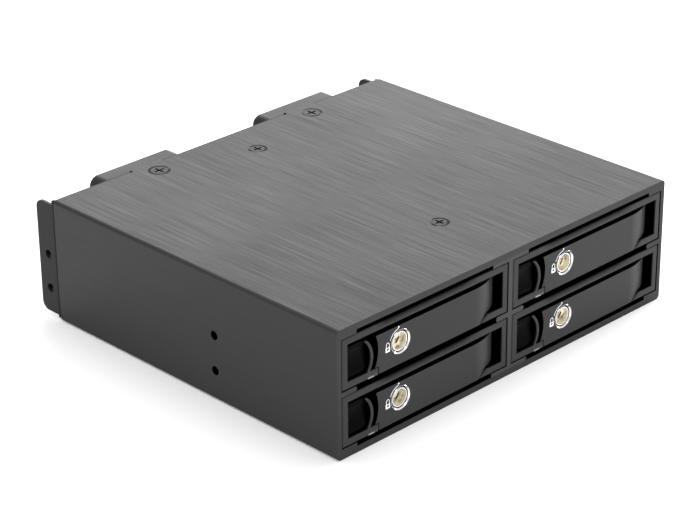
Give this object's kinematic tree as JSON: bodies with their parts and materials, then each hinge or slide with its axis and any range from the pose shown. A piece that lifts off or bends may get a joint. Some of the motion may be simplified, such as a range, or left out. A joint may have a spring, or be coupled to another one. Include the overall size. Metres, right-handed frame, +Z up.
{
  "type": "hot swap drive cage",
  "caption": "Flat metal cage whose small drive trays slide out at the front, each with a swing handle, key lock and push button; fans and ports behind.",
  "frame": {"origin": "centre of the housing's bottom face", "axes": "+X to the right seen from the front, +Y to the rear, +Z up; the trays face -Y"},
  "size_m": [0.146, 0.1362, 0.042],
  "materials": {
    "housing_metal": "fine brushed, dark grey anodised",
    "divider_metal": "satin, dark grey anodised",
    "sheet_metal": "satin dark grey",
    "screw_metal": "dark zinc",
    "fan_screw_metal": "black oxide",
    "board_laminate": "green solder mask",
    "standoff_brass": "turned",
    "fan_plastic": "moulded black",
    "rotor_plastic": "moulded black",
    "connector_plastic": "moulded black",
    "pan_metal": "satin dark grey",
    "bezel_finish": "satin dark grey, fine grain",
    "handle_finish": "satin dark grey, fine grain",
    "pin_steel": "ground",
    "button_plastic": "gloss black",
    "lock_rim_metal": "bright nickel",
    "lock_core_metal": "pale brass, die cast",
    "cam_steel": "zinc",
    "guide_plastic": "clear, frosted end"
  },
  "bodies": {
    "cage": {"housing": "housing_metal", "centre_divider": "divider_metal", "rear_plate": "sheet_metal", "divider_screws": "screw_metal", "plate_screws": "screw_metal", "standoff_screws": "screw_metal", "backplane_board": "board_laminate", "board_standoffs": "standoff_brass", "fan_frame_left": "fan_plastic", "fan_frame_right": "fan_plastic", "fan_screws_left": "fan_screw_metal", "fan_screws_right": "fan_screw_metal", "data_port_left": "connector_plastic", "data_port_right": "connector_plastic", "power_port_upper": "connector_plastic", "power_port_lower": "connector_plastic", "drive_socket_upper_left": "connector_plastic", "drive_socket_lower_left": "connector_plastic", "drive_socket_upper_right": "connector_plastic", "drive_socket_lower_right": "connector_plastic"},
    "tray_upper_left": {"tray_pan_upper_left": "pan_metal", "tray_bezel_upper_left": "bezel_finish", "hinge_pin_upper_left": "pin_steel", "light_guide_upper_left": "guide_plastic"},
    "handle_upper_left": {"handle_upper_left": "handle_finish", "lock_sleeve_upper_left": "lock_rim_metal"},
    "button_upper_left": {"release_button_upper_left": "button_plastic"},
    "lock_upper_left": {"lock_plug_upper_left": "lock_core_metal", "lock_cam_upper_left": "cam_steel"},
    "tray_lower_left": {"tray_pan_lower_left": "pan_metal", "tray_bezel_lower_left": "bezel_finish", "hinge_pin_lower_left": "pin_steel", "light_guide_lower_left": "guide_plastic"},
    "handle_lower_left": {"handle_lower_left": "handle_finish", "lock_sleeve_lower_left": "lock_rim_metal"},
    "button_lower_left": {"release_button_lower_left": "button_plastic"},
    "lock_lower_left": {"lock_plug_lower_left": "lock_core_metal", "lock_cam_lower_left": "cam_steel"},
    "tray_upper_right": {"tray_pan_upper_right": "pan_metal", "tray_bezel_upper_right": "bezel_finish", "hinge_pin_upper_right": "pin_steel", "light_guide_upper_right": "guide_plastic"},
    "handle_upper_right": {"handle_upper_right": "handle_finish", "lock_sleeve_upper_right": "lock_rim_metal"},
    "button_upper_right": {"release_button_upper_right": "button_plastic"},
    "lock_upper_right": {"lock_plug_upper_right": "lock_core_metal", "lock_cam_upper_right": "cam_steel"},
    "tray_lower_right": {"tray_pan_lower_right": "pan_metal", "tray_bezel_lower_right": "bezel_finish", "hinge_pin_lower_right": "pin_steel", "light_guide_lower_right": "guide_plastic"},
    "handle_lower_right": {"handle_lower_right": "handle_finish", "lock_sleeve_lower_right": "lock_rim_metal"},
    "button_lower_right": {"release_button_lower_right": "button_plastic"},
    "lock_lower_right": {"lock_plug_lower_right": "lock_core_metal", "lock_cam_lower_right": "cam_steel"},
    "fan_left": {"fan_rotor_left": "rotor_plastic"},
    "fan_right": {"fan_rotor_right": "rotor_plastic"}
  },
  "joints": [
    {"name": "tray_slide_upper_left", "type": "slide", "parent": "cage", "child": "tray_upper_left", "axis": [0, -1, 0], "range_m": [0, 0.1]},
    {"name": "handle_swing_upper_left", "type": "hinge", "parent": "tray_upper_left", "child": "handle_upper_left", "pos_m": [-0.0063, -0.0583, 0.0297], "axis": [0, 0, 1], "range_deg": [0, 70]},
    {"name": "button_press_upper_left", "type": "slide", "parent": "tray_upper_left", "child": "button_upper_left", "axis": [0, 1, 0], "range_m": [0, 0.0015], "stiffness_N_per_m": 600, "springref_m": -0.0008},
    {"name": "lock_turn_upper_left", "type": "hinge", "parent": "handle_upper_left", "child": "lock_upper_left", "pos_m": [-0.0475, -0.0607, 0.0295], "axis": [0, 1, 0], "range_deg": [0, 90]},
    {"name": "tray_slide_lower_left", "type": "slide", "parent": "cage", "child": "tray_lower_left", "axis": [0, -1, 0], "range_m": [0, 0.1]},
    {"name": "handle_swing_lower_left", "type": "hinge", "parent": "tray_lower_left", "child": "handle_lower_left", "pos_m": [-0.0063, -0.0583, 0.0112], "axis": [0, 0, 1], "range_deg": [0, 70]},
    {"name": "button_press_lower_left", "type": "slide", "parent": "tray_lower_left", "child": "button_lower_left", "axis": [0, 1, 0], "range_m": [0, 0.0015], "stiffness_N_per_m": 600, "springref_m": -0.0008},
    {"name": "lock_turn_lower_left", "type": "hinge", "parent": "handle_lower_left", "child": "lock_lower_left", "pos_m": [-0.0475, -0.0607, 0.011], "axis": [0, 1, 0], "range_deg": [0, 90]},
    {"name": "tray_slide_upper_right", "type": "slide", "parent": "cage", "child": "tray_upper_right", "axis": [0, -1, 0], "range_m": [0, 0.1]},
    {"name": "handle_swing_upper_right", "type": "hinge", "parent": "tray_upper_right", "child": "handle_upper_right", "pos_m": [0.066, -0.0583, 0.0297], "axis": [0, 0, 1], "range_deg": [0, 70]},
    {"name": "button_press_upper_right", "type": "slide", "parent": "tray_upper_right", "child": "button_upper_right", "axis": [0, 1, 0], "range_m": [0, 0.0015], "stiffness_N_per_m": 600, "springref_m": -0.0008},
    {"name": "lock_turn_upper_right", "type": "hinge", "parent": "handle_upper_right", "child": "lock_upper_right", "pos_m": [0.0248, -0.0607, 0.0295], "axis": [0, 1, 0], "range_deg": [0, 90]},
    {"name": "tray_slide_lower_right", "type": "slide", "parent": "cage", "child": "tray_lower_right", "axis": [0, -1, 0], "range_m": [0, 0.1]},
    {"name": "handle_swing_lower_right", "type": "hinge", "parent": "tray_lower_right", "child": "handle_lower_right", "pos_m": [0.066, -0.0583, 0.0112], "axis": [0, 0, 1], "range_deg": [0, 70]},
    {"name": "button_press_lower_right", "type": "slide", "parent": "tray_lower_right", "child": "button_lower_right", "axis": [0, 1, 0], "range_m": [0, 0.0015], "stiffness_N_per_m": 600, "springref_m": -0.0008},
    {"name": "lock_turn_lower_right", "type": "hinge", "parent": "handle_lower_right", "child": "lock_lower_right", "pos_m": [0.0248, -0.0607, 0.011], "axis": [0, 1, 0], "range_deg": [0, 90]},
    {"name": "fan_spin_left", "type": "hinge", "parent": "cage", "child": "fan_left", "pos_m": [-0.0355, 0.0673, 0.0241], "axis": [0, 1, 0], "continuous": true},
    {"name": "fan_spin_right", "type": "hinge", "parent": "cage", "child": "fan_right", "pos_m": [0.0355, 0.0673, 0.0241], "axis": [0, 1, 0], "continuous": true}
  ]
}
